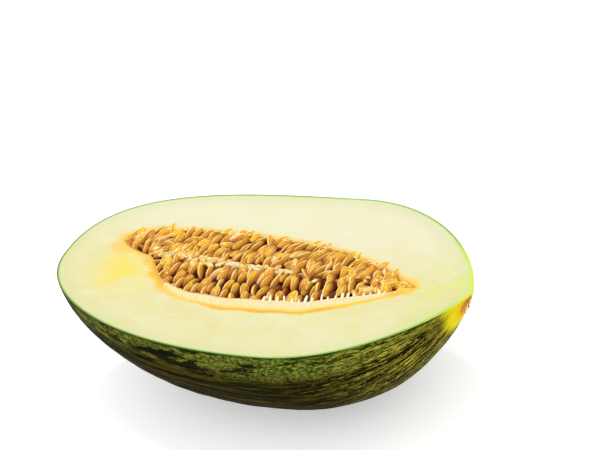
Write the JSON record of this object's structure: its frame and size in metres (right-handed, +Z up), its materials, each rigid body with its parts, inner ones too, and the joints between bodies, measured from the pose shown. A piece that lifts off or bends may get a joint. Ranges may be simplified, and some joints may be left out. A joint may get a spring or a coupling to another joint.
{
  "type": "halved melon",
  "caption": "Long green melon cut in half lengthwise, resting on its mottled rind with the pale flesh and the seed-filled cavity facing up.",
  "frame": {"origin": "under the middle of the half, on the surface it rests on", "axes": "+X towards the stalk end along the melon's length, -Y towards the near side with the pale band of pulp, +Z up, square to the cut face"},
  "size_m": [0.26, 0.1502, 0.0763],
  "materials": {
    "rind_and_flesh": "moist pale cut flesh, with a waxy dark green mottled rind outside",
    "seeds": "wet tan seeds in glistening orange pulp",
    "stalk": "dry corky stalk scar"
  },
  "bodies": {
    "root": {"melon_half": "rind_and_flesh", "seed_mass": "seeds", "stalk_stub": "stalk"}
  },
  "joints": []
}
